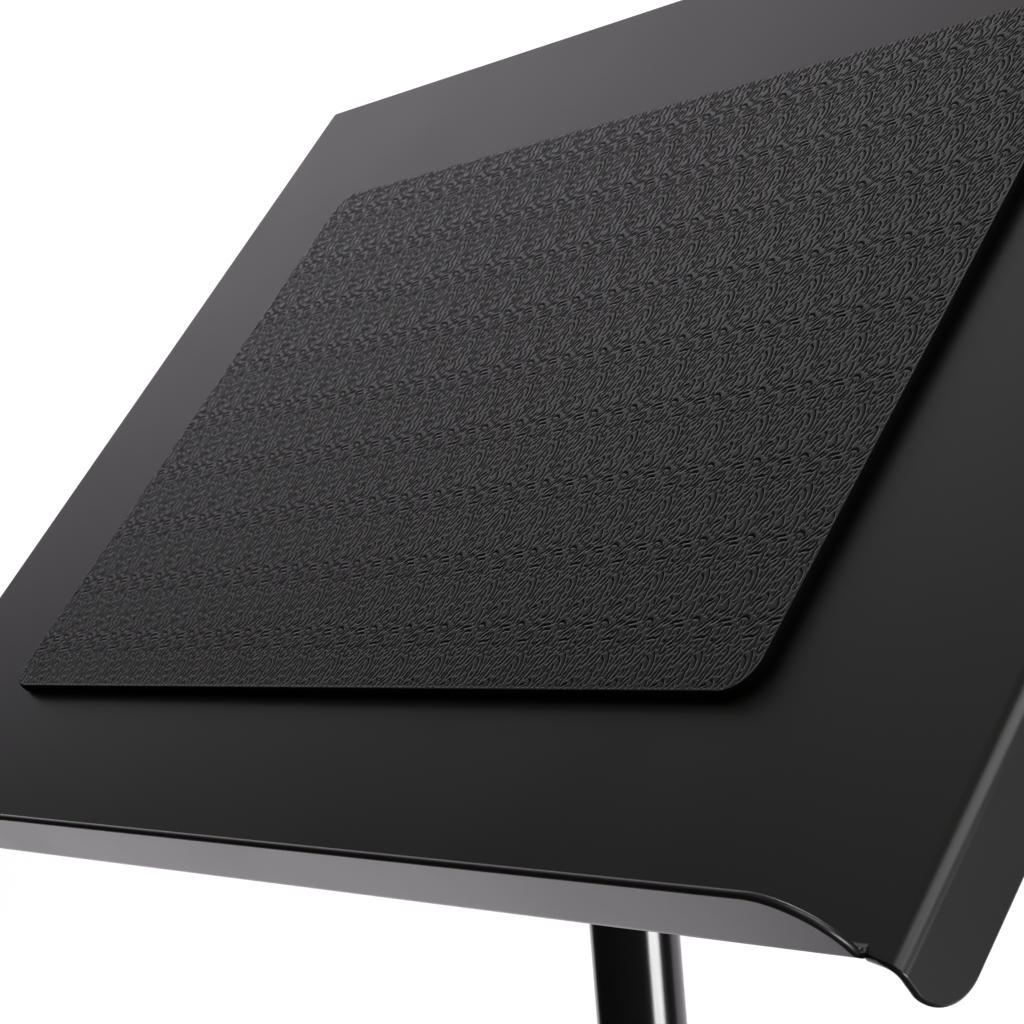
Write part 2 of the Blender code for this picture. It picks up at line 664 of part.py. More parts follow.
def build_desk(mats, mast_frame):
    """Everything that tilts: the frame is on the tilt axis, +Y up the desk and +Z out of it."""
    tilt = add_frame("tilt_axis", (0.0, 0.0, 0.0), (DESK_TILT, 0.0, 0.0), mast_frame)
    add_object("desk_panel", desk_panel(), mats["powder_coat"], tilt)
    add_object("rubber_mat", rubber_mat(), mats["rubber"], tilt)
    add_object("tilt_bracket_right", tilt_bracket(1), mats["powder_coat"], tilt)
    add_object("tilt_bracket_left", tilt_bracket(-1), mats["powder_coat"], tilt)
    back = TILT_DEPTH - SHEET - GAP
    wing = back - BRACKET_SHEET - GAP
    nut_profile = [(NUT_RADIUS, 0.0), (NUT_RADIUS, NUT_HEIGHT)]
    nut_profile += [(STUD_RADIUS + GAP, NUT_HEIGHT), (STUD_RADIUS + GAP, 0.0)]
    stud = add_mesh("weld_stud", rod(STUD_RADIUS, wing - NUT_HEIGHT - STUD_PROUD, back, SMALL))
    nut = add_mesh("bracket_nut", turned(nut_profile, 12))
    places = [(x, y) for x in (STUD_X, -STUD_X) for y in (STUD_Y, -STUD_Y)]
    for number, (x, y) in enumerate(places, 1):
        add_object(f"weld_stud_{number}", stud, mats["steel"], tilt).location = (x, y, 0.0)
        place = (x, y, wing - NUT_HEIGHT)
        add_object(f"bracket_nut_{number}", nut, mats["steel"], tilt).location = place
    add_object("tilt_bolt", tilt_bolt(), mats["steel"], tilt)
    disc = pipe(DISC_RADIUS, BOLT_RADIUS + GAP, 0.0, DISC, MEDIUM)
    disc_mesh = add_mesh("friction_disc", along_x(disc))
    seat = HEAD_HALF + GAP
    add_object("friction_disc_right", disc_mesh, mats["nylon"], tilt).location.x = seat
    add_object("friction_disc_left", disc_mesh, mats["nylon"], tilt).location.x = -seat - DISC
    knob_axis = add_frame("tilt_knob_axis", (CHEEK_FACE, 0.0, 0.0), (0.0, math.pi / 2, 0.0), tilt)
    bore_end = BOLT_REACH + 0.001
    knob = star_knob(KNOB_RADIUS, 0.0, KNOB_HEIGHT, INSERT_RADIUS + GAP, bore_end)
    add_object("tilt_knob", knob, mats["plastic"], knob_axis)
    insert = pipe(INSERT_RADIUS, BOLT_RADIUS + GAP, 0.0, INSERT_LENGTH, MEDIUM)
    add_object("tilt_knob_insert", insert, mats["steel"], knob_axis)


def build_mast(mats, column):
    """The upper tube and what it carries: its frame is on the column, at the tilt axis's height."""
    mast = add_frame("mast_frame", (0.0, 0.0, TILT_Z), parent=column)
    add_object("guide_bush", guide_bush(), mats["nylon"], column)
    top = TILT_Z + SOCKET_TOP - GAP
    tube = pipe(UPPER_RADIUS, UPPER_RADIUS - UPPER_WALL, UPPER_BOTTOM, top, 40)
    add_object("upper_tube", tube, mats["gloss_black"], column)
    add_object("tilt_head", tilt_head(), mats["plastic"], mast)
    screw = radial(pan_screw(UPPER_RADIUS + GAP, NECK_RADIUS + GAP), 90, HEAD_SCREW_Z)
    add_object("head_screw", screw, mats["steel"], mast)
    build_desk(mats, mast)


def build_column(mats, column):
    """The fixed lower tube with its plug, the height clamp and the clamp's knob."""
    add_object("lower_tube", lower_tube(), mats["gloss_black"], column)
    add_object("tube_end_plug", tube_end_plug(), mats["plastic"], column)
    add_object("clamp_housing", clamp_housing(), mats["plastic"], column)
    add_object("clamp_sleeve", clamp_sleeve(), mats["nylon"], column)
    screw = pan_screw(LOWER_RADIUS - LOWER_WALL, CLAMP_RADIUS + GAP)
    add_object("clamp_screw", radial(screw, 90, CLAMP_SCREW_Z), mats["steel"], column)
    knob_axis = add_frame("height_knob_axis", (0.0, 0.0, KNOB_Z), (0.0, math.pi / 2, 0.0), column)
    face = CLAMP_RADIUS + BOSS_LENGTH + GAP
    stud_end = face + KNOB_HEIGHT * 0.6
    knob = star_knob(KNOB_RADIUS, face, face + KNOB_HEIGHT, BOLT_RADIUS + GAP, stud_end + GAP)
    add_object("height_knob", knob, mats["plastic"], knob_axis)
    stud = rod(BOLT_RADIUS, SLEEVE_RADIUS + GAP, stud_end, SMALL)
    add_object("height_knob_stud", stud, mats["steel"], knob_axis)


def build_collar(mats, column):
    """The sliding collar that carries the braces, its stop ring and its lock knob."""
    collar = add_frame("collar_frame", (0.0, 0.0, COLLAR_Z), parent=column)
    add_object("brace_collar", brace_collar(), mats["plastic"], collar)
    seat = COLLAR_HALF + GAP
    ring = pipe(STOP_RING_RADIUS, LOWER_RADIUS + GAP, seat, seat + STOP_RING_HEIGHT)
    add_object("collar_stop_ring", ring, mats["steel"], collar)
    turn = (0.0, math.pi / 2, math.radians(COLLAR_KNOB_AZIMUTH))
    knob_axis = add_frame("collar_knob_axis", (0.0, 0.0, 0.0), turn, collar)
    face = HUB_RADIUS + COLLAR_BOSS_LENGTH + GAP
    top = face + COLLAR_KNOB_HEIGHT
    stud_end = face + COLLAR_KNOB_HEIGHT * 0.6
    knob = star_knob(COLLAR_KNOB_RADIUS, face, top, BOLT_RADIUS + GAP, stud_end + GAP)
    add_object("collar_knob", knob, mats["plastic"], knob_axis)
    stud = rod(BOLT_RADIUS, LOWER_RADIUS + GAP, stud_end, SMALL)
    add_object("collar_knob_stud", stud, mats["steel"], knob_axis)
    return collar


def build_tripod(mats, column):
    """The hub, and three legs, each held by a pair of flat braces from the collar."""
    collar = build_collar(mats, column)
    hub = add_frame("hub_frame", (0.0, 0.0, HUB_Z), parent=column)
    add_object("leg_hub", leg_hub(), mats["plastic"], hub)
    grub = radial(rod(PIN_RADIUS, LOWER_RADIUS + GAP, HUB_RADIUS, SMALL), COLLAR_KNOB_AZIMUTH)
    add_object("hub_grub_screw", grub, mats["steel"], hub)
    lug_face = TONGUE_HALF + GAP + LUG_THICK
    outer = BRACE_INNER + BRACE_THICK + GAP
    meshes = {
        "leg_knuckle": (add_mesh("leg_knuckle", leg_knuckle()), "plastic"),
        "leg_tube": (add_mesh("leg_tube", leg_tube()), "gloss_black"),
        "leg_foot": (add_mesh("leg_foot", leg_foot()), "rubber"),
    }
    leg_pin = add_mesh("leg_pin", along_y(rod(PIN_RADIUS, -lug_face, lug_face, SMALL)))
    brace_pin = add_mesh("brace_pin", along_y(rivet(PIN_RADIUS, outer, 0.005, 0.002)))
    brace_rivet = add_mesh("brace_rivet", along_y(rivet(RIVET_RADIUS, outer, 0.0045, 0.002)))
    bars = {side: add_mesh(f"brace_{side}", brace_bar(sign)) for side, sign in (("left", 1), ("right", -1))}
    for number, azimuth in enumerate(LEG_AZIMUTHS, 1):
        turn = math.radians(azimuth)
        outward = Vector((math.cos(turn), math.sin(turn), 0.0))
        leg_axis = add_frame(f"leg_{number}_axis", outward * LEG_PIN_R, (0.0, LEG_SLOPE, turn), hub)
        add_object(f"leg_pin_{number}", leg_pin, mats["steel"], leg_axis)
        for name, (mesh, material) in meshes.items():
            add_object(f"{name}_{number}", mesh, mats[material], leg_axis)
        slope = (0.0, BRACE_SLOPE, turn)
        brace_axis = add_frame(f"brace_{number}_axis", outward * BRACE_PIN_R, slope, collar)
        add_object(f"brace_pin_{number}", brace_pin, mats["steel"], brace_axis)
        for side, mesh in bars.items():
            add_object(f"brace_{number}_{side}", mesh, mats["powder_coat"], brace_axis)
        end = add_object(f"brace_rivet_{number}", brace_rivet, mats["steel"], brace_axis)
        end.location.x = BRACE_LENGTH


def main():
    for item in list(bpy.data.objects):
        bpy.data.objects.remove(item)
    mats = make_materials()
    column = add_frame("column_axis", (0.0, COLUMN_Y, 0.0))
    build_column(mats, column)
    build_tripod(mats, column)
    build_mast(mats, column)


main()
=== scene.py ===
"""Looks of the music stand: powder-coated desk, embossed rubber mat, painted tubes and fittings.

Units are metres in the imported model's frame: +Z is up, +X is the player's right, the desk faces -Y.
"""

import json
import math

import bmesh
import bpy
import numpy as np
from mathutils import Matrix, Vector


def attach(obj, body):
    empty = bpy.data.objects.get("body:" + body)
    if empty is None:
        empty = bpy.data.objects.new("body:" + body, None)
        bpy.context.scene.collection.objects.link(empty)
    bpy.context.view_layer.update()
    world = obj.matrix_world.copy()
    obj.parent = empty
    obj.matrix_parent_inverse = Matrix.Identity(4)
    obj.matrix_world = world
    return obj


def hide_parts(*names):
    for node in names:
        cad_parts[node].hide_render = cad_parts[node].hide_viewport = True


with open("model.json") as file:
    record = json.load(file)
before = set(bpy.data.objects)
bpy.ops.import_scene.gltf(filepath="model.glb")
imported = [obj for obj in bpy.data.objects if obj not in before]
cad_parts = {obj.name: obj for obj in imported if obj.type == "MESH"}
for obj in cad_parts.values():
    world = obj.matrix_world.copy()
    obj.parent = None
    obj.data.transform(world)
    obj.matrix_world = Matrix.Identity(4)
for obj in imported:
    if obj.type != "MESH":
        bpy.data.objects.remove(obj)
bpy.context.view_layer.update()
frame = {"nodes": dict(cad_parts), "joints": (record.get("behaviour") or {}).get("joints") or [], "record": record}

NODES = frame["nodes"]
JOINTS = {joint["name"]: joint for joint in frame["joints"]}

# The desk's own frame: on the tilt axis, +X right, +Y up the desk, +Z out of its face
TILT = JOINTS["desk_tilt"]
DESK_SLOPE = math.radians(-TILT["range_deg"][0])
DESK = Matrix.Translation(TILT["pos_m"]) @ Matrix.Rotation(DESK_SLOPE, 4, "X")


def local_box(node, matrix):
    """The lowest and highest corner of a CAD node in a frame of its own."""
    back = matrix.inverted()
    points = np.array([back @ vert.co for vert in NODES[node].data.vertices])
    return Vector(points.min(axis=0)), Vector(points.max(axis=0))


# Node materials

class Tree:
    """A material's node tree, with short calls for adding and joining nodes."""

    def __init__(self, name):
        self.material = bpy.data.materials.new(name)
        self.material.use_nodes = True
        self.nodes = self.material.node_tree.nodes
        self.links = self.material.node_tree.links
        self.shader = self.nodes["Principled BSDF"]
        self.place = self.add("ShaderNodeTexCoord").outputs["Object"]

    def add(self, kind, settings=None, **inputs):
        node = self.nodes.new(kind)
        for key, value in (settings or {}).items():
            setattr(node, key, value)
        for key, value in inputs.items():
            self.put(node.inputs[key.replace("_", " ")], value)
        return node

    def put(self, socket, value):
        if isinstance(value, bpy.types.NodeSocket):
            self.links.new(value, socket)
        else:
            socket.default_value = value

    def noise(self, size, detail=2.0, stretch=(1.0, 1.0, 1.0)):
        """Noise whose features are about this size in metres, longer along an axis under 1."""
        place = self.add("ShaderNodeMapping", Vector=self.place, Scale=stretch)
        noise = self.add("ShaderNodeTexNoise", Vector=place.outputs[0], Scale=1.0 / size, Detail=detail)
        return noise.outputs["Fac"]

    def ramp(self, value, low, high, start=0.3, end=0.7):
        """Maps a value from start..end to low..high."""
        node = self.add("ShaderNodeMapRange", Value=value, From_Min=start, From_Max=end)
        node.inputs["To Min"].default_value = low
        node.inputs["To Max"].default_value = high
        return node.outputs[0]

    def mix(self, value, first, second):
        """Blends two colours, from the first at 0 to the second at 1."""
        node = self.add("ShaderNodeMix", {"data_type": "RGBA"})
        self.put(node.inputs[0], value)
        self.put(node.inputs[6], first)
        self.put(node.inputs[7], second)
        return node.outputs[2]

    def bump(self, height, depth):
        """A bump of this depth in metres for heights from 0 to 1."""
        return self.add("ShaderNodeBump", Height=height, Distance=depth, Strength=1.0).outputs[0]

    def surface(self, **sockets):
        """Fills the shader's sockets and gives the finished material."""
        for key, value in sockets.items():
            self.put(self.shader.inputs[key.replace("_", " ")], value)
        return self.material


def grey(value, tint=(1.0, 1.0, 1.0)):
    return (value * tint[0], value * tint[1], value * tint[2], 1.0)


COAT_GREY = 0.005
COAT_TINT = (1.05, 1.0, 0.92)      # the black is a little warm
COAT_ROUGHNESS = 0.33
ENAMEL_GREY = 0.004
PLASTIC_GREY = 0.018


def powder_coat(name):
    """Satin black powder coat: a fine orange peel, and clouds of slightly different gloss."""
    tree = Tree(name)
    cloud = tree.noise(0.05, 3.0)
    peel = tree.noise(0.0011, 1.0)
    fleck = tree.noise(0.0004, 1.0)
    dark = grey(COAT_GREY * 0.93, COAT_TINT)
    light = grey(COAT_GREY * 1.07, COAT_TINT)
    colour = tree.mix(tree.ramp(cloud, 0.0, 1.0), dark, light)
    dull = tree.add("ShaderNodeMath", {"operation": "ADD"})
    tree.put(dull.inputs[0], tree.ramp(cloud, COAT_ROUGHNESS - 0.012, COAT_ROUGHNESS + 0.012))
    tree.put(dull.inputs[1], tree.ramp(fleck, -0.02, 0.02))
    normal = tree.bump(peel, 0.000006)
    return tree.surface(Base_Color=colour, Roughness=dull.outputs[0], Normal=normal, IOR=1.5)


def gloss_enamel(name):
    """Gloss black stove enamel with a little waviness and hairline rub marks along the tube."""
    tree = Tree(name)
    wave = tree.noise(0.012, 1.0, (1.0, 1.0, 0.35))
    rub = tree.noise(0.0012, 2.0, (1.0, 1.0, 0.02))
    return tree.surface(
        Base_Color=grey(ENAMEL_GREY),
        Roughness=tree.ramp(rub, 0.17, 0.22, 0.4, 0.75),
        Normal=tree.bump(wave, 0.00002),
        IOR=1.52,
    )


def moulded_plastic(name):
    """Black moulded nylon with an even spark-eroded texture."""
    tree = Tree(name)
    grain = tree.noise(0.0005, 2.0)
    cloud = tree.noise(0.02, 2.0)
    dark = grey(PLASTIC_GREY * 0.9)
    light = grey(PLASTIC_GREY * 1.15)
    colour = tree.mix(tree.ramp(cloud, 0.0, 1.0), dark, light)
    return tree.surface(
        Base_Color=colour,
        Roughness=tree.ramp(cloud, 0.44, 0.54),
        Normal=tree.bump(grain, 0.00003),
    )


def foot_rubber(name):
    """Dull black rubber, a little dusty on the wider scale."""
    tree = Tree(name)
    dust = tree.noise(0.006, 4.0)
    grain = tree.noise(0.0007, 2.0)
    colour = tree.mix(tree.ramp(dust, 0.0, 1.0, 0.45, 0.8), grey(0.014), grey(0.030, (1.0, 0.97, 0.93)))
    return tree.surface(
        Base_Color=colour,
        Roughness=tree.ramp(dust, 0.62, 0.82),
        Normal=tree.bump(grain, 0.00004),
    )


def white_nylon(name):
    """Natural nylon: off-white and slightly waxy."""
    tree = Tree(name)
    cloud = tree.noise(0.01, 2.0)
    colour = tree.mix(tree.ramp(cloud, 0.0, 1.0), (0.62, 0.60, 0.54, 1.0), (0.70, 0.68, 0.62, 1.0))
    material = tree.surface(
        Base_Color=colour,
        Roughness=tree.ramp(cloud, 0.38, 0.48),
        Normal=tree.bump(tree.noise(0.0008), 0.00001),
    )
    tree.shader.inputs["Subsurface Weight"].default_value = 0.15
    tree.shader.inputs["Subsurface Scale"].default_value = 0.002
    return material


def zinc_steel(name):
    """Bright zinc-plated steel with fine turning marks and a faint yellow-blue cloud."""
    tree = Tree(name)
    cloud = tree.noise(0.004, 3.0)
    marks = tree.noise(0.0003, 2.0)
    colour = tree.mix(tree.ramp(cloud, 0.0, 1.0), (0.58, 0.57, 0.54, 1.0), (0.56, 0.58, 0.61, 1.0))
    return tree.surface(
        Base_Color=colour,
        Roughness=tree.ramp(cloud, 0.24, 0.38),
        Metallic=1.0,
        Normal=tree.bump(marks, 0.000004),
    )


def mat_rubber(name):
    """The mat's black rubber. The grain itself is in the mesh; its grooves are duller, and carry painted shade."""
    tree = Tree(name)
    crest = tree.add("ShaderNodeAttribute", {"attribute_name": "crest"}).outputs["Fac"]
    micro = tree.noise(0.00035, 2.0)
    cloud = tree.noise(0.03, 3.0)
    top = tree.mix(tree.ramp(cloud, 0.0, 1.0), grey(0.004), grey(0.006))
    # painted shade: where crest is 0, in the grooves and on the rim, the colour is darker
    colour = tree.mix(crest, grey(0.002), top)
    return tree.surface(
        Base_Color=colour,
        Roughness=tree.ramp(crest, 0.75, 0.27, 0.0, 1.0),
        # painted shade: the reflection is weakened in the grooves and on the rim, as cavity shading
        Specular_IOR_Level=tree.ramp(crest, 0.05, 0.53, 0.1, 0.85),
        Normal=tree.bump(micro, 0.000012),
    )


MATERIALS = {
    "desk_coat": powder_coat("desk_coat"),
    "brace_coat": powder_coat("brace_coat"),
    "tube_paint": gloss_enamel("tube_paint"),
    "black_plastic": moulded_plastic("black_plastic"),
    "foot_rubber": foot_rubber("foot_rubber"),
    "mat_rubber": mat_rubber("mat_rubber"),
    "nylon": white_nylon("nylon"),
    "steel": zinc_steel("steel"),
}
SLOT_OF = {part["node"]: part["material_slot"] for part in frame["record"]["subparts"]}
BODY_OF = {}
for body, members in frame["record"]["behaviour"]["bodies"].items():
    for member in members:
        BODY_OF[member] = body


# Pieces

TOUCH = 1e-6                       # points closer than this are the same point
SHARP_ANGLE = math.radians(35)     # edges sharper than this are rounded, or stay sharp
EDGE_WEIGHT = 80                   # how strongly smooth normals follow a piece's larger faces


def add_piece(name, mesh, node, matrix=None):
    """A finished piece that stands for a CAD node: same body, same material slot."""
    if isinstance(mesh, bmesh.types.BMesh):
        bm, mesh = mesh, bpy.data.meshes.new(name)
        bm.to_mesh(mesh)
        bm.free()
    if matrix is not None:
        mesh.transform(matrix)
    mesh.materials.clear()
    mesh.materials.append(MATERIALS[SLOT_OF[node]])
    mesh.shade_smooth()
    piece = bpy.data.objects.new(name, mesh)
    bpy.context.scene.collection.objects.link(piece)
    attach(piece, BODY_OF[node])
    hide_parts(node)
    return piece


def shade_by_area(piece, weight):
    """Smooth normals that follow the piece's larger faces."""
    shading = piece.modifiers.new("shading", "WEIGHTED_NORMAL")
    shading.weight = weight
    shading.keep_sharp = True


def round_edges(piece, width):
    """Rounds a piece's sharp edges."""
    bevel = piece.modifiers.new("edges", "BEVEL")
    bevel.width = width
    bevel.segments = 2
    bevel.limit_method = "ANGLE"
    bevel.angle_limit = SHARP_ANGLE
    bevel.use_clamp_overlap = True
    bevel.miter_outer = "MITER_ARC"
    shade_by_area(piece, EDGE_WEIGHT)


def arc(cx, cy, radius, start, end, steps):
    """Points on an arc, angles in degrees."""
    turns = [math.radians(start + (end - start) * i / steps) for i in range(steps + 1)]
    return [(cx + radius * math.cos(turn), cy + radius * math.sin(turn)) for turn in turns]


# The desk: one folded sheet

SHEET = 0.002                      # its thickness
BEND_INNER = 0.002                 # radii of the three bends
BEND_OUTER = BEND_INNER + SHEET
BEND_MIDDLE = BEND_INNER + SHEET / 2
BEND_LENGTH = BEND_MIDDLE * math.pi / 2
BEND_STEPS = 14
LEDGE_HALF = 0.2410                # half the ledge's length
RELIEF = 0.00025                   # the slot beside the ledge, nearly closed by the coating
RELIEF_DEPTH = 0.0002
SLOT_RISE = 0.0008                 # beside the slot the sheet ends this much above the ledge's underside
FLANGE_RADIUS = 0.012              # rounding of the flanges' and the ledge's corners, in the flat
LEDGE_RADIUS = 0.0165
EDGE_ROUND = 0.0009                # the coated sheet's edges are almost fully round
DESK_WEIGHT = 100                  # the desk's normals follow its flat faces alone
WHOLE = 1.0                        # a distance that takes in the whole sheet
GLUE = 0.0003                      # the gap between the sheet and the mat


def prism(outline, low, high):
    """An outline made solid."""
    bm = bmesh.new()
    face = bm.faces.new([bm.verts.new((x, y, low)) for x, y in outline])
    raised = bmesh.ops.extrude_face_region(bm, geom=[face])
    top = [item for item in raised["geom"] if isinstance(item, bmesh.types.BMVert)]
    bmesh.ops.translate(bm, verts=top, vec=(0, 0, high - low))
    bmesh.ops.recalc_face_normals(bm, faces=bm.faces)
    return bm


def slice_sheet(bm, axis, place, within):
    """Cuts the part of the sheet that lies within a distance of its middle line."""
    faces = [face for face in bm.faces if abs(face.calc_center_median().x) < within]
    edges = {edge for face in faces for edge in face.edges}
    verts = {vert for face in faces for vert in face.verts}
    point = [0.0, 0.0, 0.0]
    normal = [0.0, 0.0, 0.0]
    point[axis] = place
    normal[axis] = 1.0
    geometry = [*verts, *edges, *faces]
    bmesh.ops.bisect_plane(bm, geom=geometry, dist=TOUCH, plane_co=point, plane_no=normal)


def slice_bend(bm, axis, start, side, within):
    """Cuts the sheet into the strips that a bend needs."""
    for k in range(BEND_STEPS + 1):
        slice_sheet(bm, axis, start + side * BEND_LENGTH * k / BEND_STEPS, within)


def fold(bm, axis, start, side, toward, within):
    """Bends the sheet beyond a line by a right angle, toward -Z (-1) or +Z (+1)."""
    for vert in bm.verts:
        past = side * (vert.co[axis] - start)
        if past <= TOUCH or abs(vert.co.x) > within:
            continue
        angle = min(past / BEND_MIDDLE, math.pi / 2)
        depth = vert.co.z + SHEET / 2
        radius = BEND_MIDDLE - toward * depth
        straight = max(0.0, past - BEND_LENGTH)
        vert.co[axis] = start + side * radius * math.sin(angle)
        vert.co.z = toward * (BEND_MIDDLE - radius * math.cos(angle) + straight) - SHEET / 2


def mark_rims(bm, slot_end):
    """Marks the flat sheet's upper and lower rims for rounding, all but the slots' own edges."""
    weight = bm.edges.layers.float.new("bevel_weight_edge")
    for edge in bm.edges:
        first, second = edge.verts
        on_side = any(abs(face.normal.z) < 0.5 for face in edge.link_faces)
        level = abs(first.co.z - second.co.z) < TOUCH
        middle = (first.co + second.co) / 2
        beside_slot = LEDGE_HALF - TOUCH < abs(middle.x) < LEDGE_HALF + RELIEF + TOUCH
        if level and on_side and not (beside_slot and middle.y > slot_end):
            edge[weight] = 1.0


def desk_sheet():
    """The desk: a flat blank with round rims, folded into two side flanges and the bottom ledge."""
    low, high = local_box("desk_panel", DESK)
    half_w = high.x
    half_h = high.y
    foot = -low.y
    face = local_box("rubber_mat", DESK)[0].z - GLUE
    side_end = half_w - BEND_OUTER + BEND_LENGTH + (face - low.z) - BEND_OUTER
    ledge_end = half_h - BEND_OUTER + BEND_LENGTH + (high.z - face + SHEET) - BEND_OUTER
    slot = half_h - BEND_OUTER - RELIEF_DEPTH
    inner = side_end - FLANGE_RADIUS
    right = arc(LEDGE_HALF - LEDGE_RADIUS, LEDGE_RADIUS - ledge_end, LEDGE_RADIUS, -90, 0, 24)
    right += [(LEDGE_HALF, -slot), (LEDGE_HALF + RELIEF, -slot)]
    right += [(LEDGE_HALF + RELIEF, -half_h + SLOT_RISE)]
    right += arc(inner, FLANGE_RADIUS - foot, FLANGE_RADIUS, -90, 0, 20)
    right += arc(inner, half_h - FLANGE_RADIUS, FLANGE_RADIUS, 0, 90, 20)
    bm = prism(right + [(-x, y) for x, y in reversed(right)], -SHEET, 0.0)
    for side in (1, -1):
        slice_bend(bm, 0, side * (half_w - BEND_OUTER), side, WHOLE)
        slice_sheet(bm, 0, side * LEDGE_HALF, WHOLE)
    slice_bend(bm, 1, BEND_OUTER - half_h, -1, LEDGE_HALF)
    mark_rims(bm, -half_h)
    for side in (1, -1):
        fold(bm, 0, side * (half_w - BEND_OUTER), side, -1, WHOLE)
    fold(bm, 1, BEND_OUTER - half_h, -1, 1, LEDGE_HALF + RELIEF / 2)
    bmesh.ops.recalc_face_normals(bm, faces=bm.faces)
    piece = add_piece("desk_sheet", bm, "desk_panel", DESK @ Matrix.Translation((0.0, 0.0, face)))
    bevel = piece.modifiers.new("edges", "BEVEL")
    bevel.width = EDGE_ROUND
    bevel.segments = 6
    bevel.limit_method = "WEIGHT"
    bevel.use_clamp_overlap = False
    shade_by_area(piece, DESK_WEIGHT)


# The rubber mat, with its grain moulded in the mesh

MAT_RADIUS = 0.010
MAT_EDGE = 0.0008                  # rounding of the mat's upper edge
MAT_FOOT = 0.0002                  # bevel of its lower edge
PLAIN_BORDER = 0.0012              # the grain fades out within this distance of the edge
GRAIN_DEPTH = 0.00036
GRAIN_STEP = 0.00030               # mesh spacing on the mat's face
GRAIN_TILE = (0.0164, 0.0239)      # the grain repeats, as it does on a roll-embossed sheet
GRAIN_SHIFT = 0.0034               # sideways shift from one row of tiles to the next
GRAIN_SEED = 14
TILE_CELLS = (164, 240)
STROKE_STEP = 0.00022
GROOVE_FLOOR = 0.00006             # from a groove's middle to the foot of its wall
GROOVE_WALL = 0.00030              # and from there to the top of its crest
DOME_REACH = 0.0014                # a crest still rises a little this far from the nearest groove
DOME_SHARE = 0.05                  # and by this share of the depth
LONG_GROOVES = (                   # start, heading in degrees, length, and curl in radians per metre
    ((0.0078, 0.0018), 73.0, 0.0096, 110.0),
    ((0.0108, -0.0022), 68.0, 0.0118, 42.0),
    ((0.0022, 0.0035), 78.0, 0.0062, -30.0),
)
SHORT_GROOVES = ((0.0072, 160), (0.0046, 600), (0.0029, 1200), (0.0016, 1500), (0.0007, 900))
SHORTEST_SHARE = 0.55              # of the longest groove of its round
STEEP_HEADING = (78.0, 14.0)       # in degrees, mean and spread, in the tall cells
LOOSE_HEADING = (42.0, 42.0)       # and in the small ones
STEEP_CURL = 60.0                  # spread of the curl in the tall cells, in radians per metre
LOOSE_CURL = 110.0                 # and what the small ones add
LONG_WAVER = 0.05                  # how much a groove's heading wavers at each point, in radians
SHORT_WAVER = 0.19
TALLEST_ROW = 0.14                 # where the tall cells are in the tile, as a share of its height
LEAST_ROOM = 0.00092               # how far a new groove keeps from the others
EXTRA_ROOM = 0.0006                # and up to this much more in the tall cells


def stroke(rng, start, heading, length, curl, wobble):
    """Points along one wavering groove."""
    count = max(2, int(length / STROKE_STEP))
    turns = heading + curl * STROKE_STEP * np.arange(count) + np.cumsum(rng.normal(0.0, wobble, count))
    x = start[0] + STROKE_STEP * np.cumsum(np.cos(turns))
    y = start[1] + STROKE_STEP * np.cumsum(np.sin(turns))
    return np.column_stack([x, y])


def grain_tile():
    """One seamless tile of the grain, 1 on its crests and 0 in its grooves.

    A few long steep grooves come first. Shorter ones then fill the room between them: steep in
    the tile's tall cells, turned and curled more freely in the band between two rows of them.
    """
    cells_x, cells_y = TILE_CELLS
    width, height = GRAIN_TILE
    rng = np.random.default_rng(GRAIN_SEED)
    grid_x = (np.arange(cells_x) + 0.5) / cells_x * width
    grid_y = (np.arange(cells_y) + 0.5) / cells_y * height
    gap = np.full((cells_y, cells_x), 1.0)

    def cut_groove(points):
        for x, y in points:
            off_x = np.abs(grid_x - x % width)
            off_y = np.abs(grid_y - y % height)
            off_x = np.minimum(off_x, width - off_x)
            off_y = np.minimum(off_y, height - off_y)
            np.minimum(gap, np.hypot(off_x[None, :], off_y[:, None]), out=gap)

    def room(points):
        column = (points[:, 0] / width * cells_x).astype(int) % cells_x
        row = (points[:, 1] / height * cells_y).astype(int) % cells_y
        return gap[row, column].min()

    for start, heading, length, curl in LONG_GROOVES:
        cut_groove(stroke(rng, start, math.radians(heading), length, curl, LONG_WAVER))
    for longest, tries in SHORT_GROOVES:
        for _ in range(tries):
            start = rng.uniform(0.0, width), rng.uniform(0.0, height)
            tall = 0.5 + 0.5 * math.cos(2.0 * math.pi * (start[1] / height - TALLEST_ROW))
            length = rng.uniform(SHORTEST_SHARE, 1.0) * longest
            heading = rng.normal(*(STEEP_HEADING if rng.uniform() < tall else LOOSE_HEADING))
            curl = rng.normal(0.0, STEEP_CURL + LOOSE_CURL * (1.0 - tall))
            points = stroke(rng, start, math.radians(heading), length, curl, SHORT_WAVER)
            if room(points) > LEAST_ROOM + EXTRA_ROOM * tall * rng.uniform():
                cut_groove(points)
    wall = np.clip((gap - GROOVE_FLOOR) / GROOVE_WALL, 0.0, 1.0)
    dome = np.clip(gap / DOME_REACH, 0.0, 1.0)
    rounded = wall * wall * (3.0 - 2.0 * wall)
    return (1.0 - DOME_SHARE) * rounded + DOME_SHARE * dome * (2.0 - dome)


def grain_height(x, y):
    """The grain at points on the mat, from its repeating tile."""
    cells_x, cells_y = TILE_CELLS
    width, height = GRAIN_TILE
    tile = grain_tile()
    across = (x - GRAIN_SHIFT * y / height) / width * cells_x
    along = y / height * cells_y
    column = np.floor(across).astype(int)
    row = np.floor(along).astype(int)
    part_x = across - column
    part_y = along - row

    def at(i, k):
        return tile[(row + k) % cells_y, (column + i) % cells_x]

    lower = at(0, 0) * (1.0 - part_x) + at(1, 0) * part_x
    upper = at(0, 1) * (1.0 - part_x) + at(1, 1) * part_x
    return lower * (1.0 - part_y) + upper * part_y


